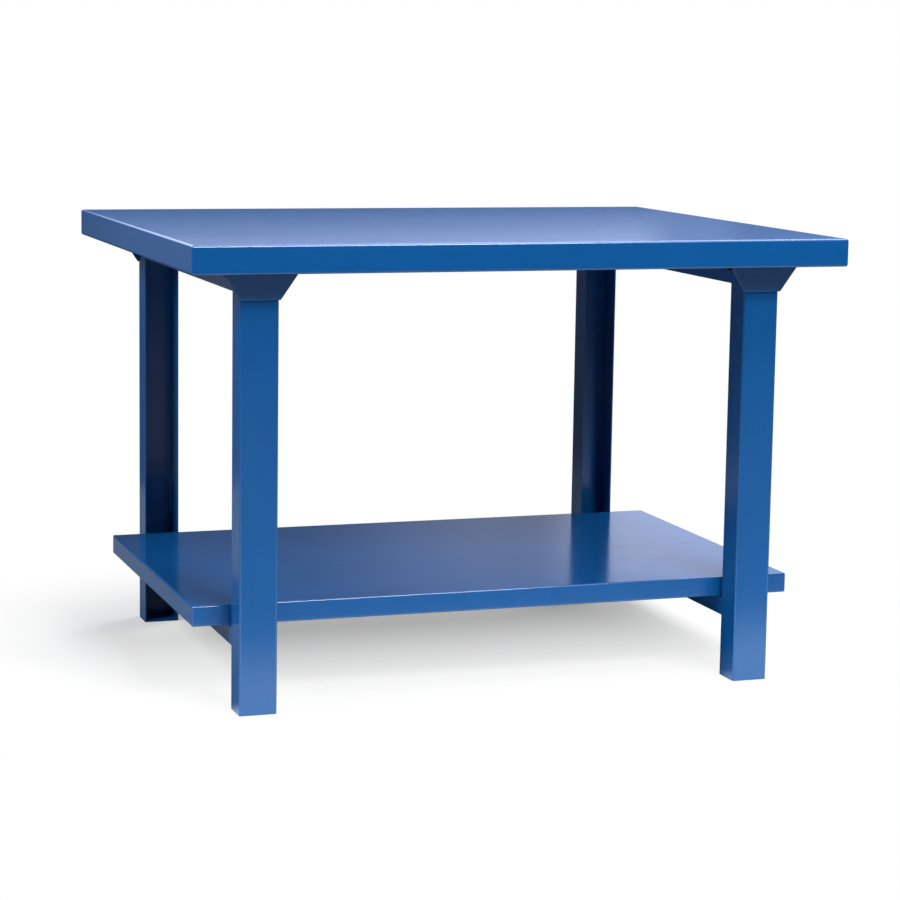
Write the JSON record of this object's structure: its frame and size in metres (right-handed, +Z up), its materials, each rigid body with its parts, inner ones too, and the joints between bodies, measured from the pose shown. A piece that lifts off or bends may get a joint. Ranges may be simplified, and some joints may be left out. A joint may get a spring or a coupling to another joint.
{
  "type": "assembly table",
  "caption": "Free-standing workshop table of folded painted sheet steel: deep-edged flat worktop on channel legs with flared head brackets, and a lower storage shelf on cross beams.",
  "frame": {"origin": "on the floor, under the middle of the worktop", "axes": "+X along the length of the table, +Y from its front to its back, +Z up"},
  "size_m": [1.25, 1, 0.85],
  "materials": {
    "worktop_paint": "glossy blue stove enamel",
    "frame_paint": "glossy blue stove enamel",
    "shelf_paint": "glossy blue stove enamel",
    "black_steel": "black oxide"
  },
  "bodies": {
    "root": {"worktop_pan": "worktop_paint", "worktop_stiffener_front": "worktop_paint", "worktop_stiffener_middle": "worktop_paint", "worktop_stiffener_rear": "worktop_paint", "leg_front_left": "frame_paint", "leg_front_right": "frame_paint", "leg_rear_left": "frame_paint", "leg_rear_right": "frame_paint", "foot_plate_front_left": "frame_paint", "foot_plate_front_right": "frame_paint", "foot_plate_rear_left": "frame_paint", "foot_plate_rear_right": "frame_paint", "head_bracket_front_left": "frame_paint", "head_bracket_front_right": "frame_paint", "head_bracket_rear_left": "frame_paint", "head_bracket_rear_right": "frame_paint", "upper_cross_beam_left": "frame_paint", "upper_cross_beam_right": "frame_paint", "lower_cross_beam_left": "frame_paint", "lower_cross_beam_right": "frame_paint", "shelf_pan": "shelf_paint", "shelf_stiffener": "shelf_paint", "worktop_middle_left_bolt": "black_steel", "worktop_middle_left_nut": "black_steel", "worktop_middle_right_bolt": "black_steel", "worktop_middle_right_nut": "black_steel", "worktop_front_left_a_bolt": "black_steel", "worktop_front_left_a_nut": "black_steel", "worktop_front_left_b_bolt": "black_steel", "worktop_front_left_b_nut": "black_steel", "worktop_front_right_a_bolt": "black_steel", "worktop_front_right_a_nut": "black_steel", "worktop_front_right_b_bolt": "black_steel", "worktop_front_right_b_nut": "black_steel", "worktop_rear_left_a_bolt": "black_steel", "worktop_rear_left_a_nut": "black_steel", "worktop_rear_left_b_bolt": "black_steel", "worktop_rear_left_b_nut": "black_steel", "worktop_rear_right_a_bolt": "black_steel", "worktop_rear_right_a_nut": "black_steel", "worktop_rear_right_b_bolt": "black_steel", "worktop_rear_right_b_nut": "black_steel", "shelf_middle_left_bolt": "black_steel", "shelf_middle_left_nut": "black_steel", "shelf_middle_right_bolt": "black_steel", "shelf_middle_right_nut": "black_steel", "shelf_front_left_bolt": "black_steel", "shelf_front_left_nut": "black_steel", "shelf_front_right_bolt": "black_steel", "shelf_front_right_nut": "black_steel", "shelf_rear_left_bolt": "black_steel", "shelf_rear_left_nut": "black_steel", "shelf_rear_right_bolt": "black_steel", "shelf_rear_right_nut": "black_steel"}
  },
  "joints": []
}
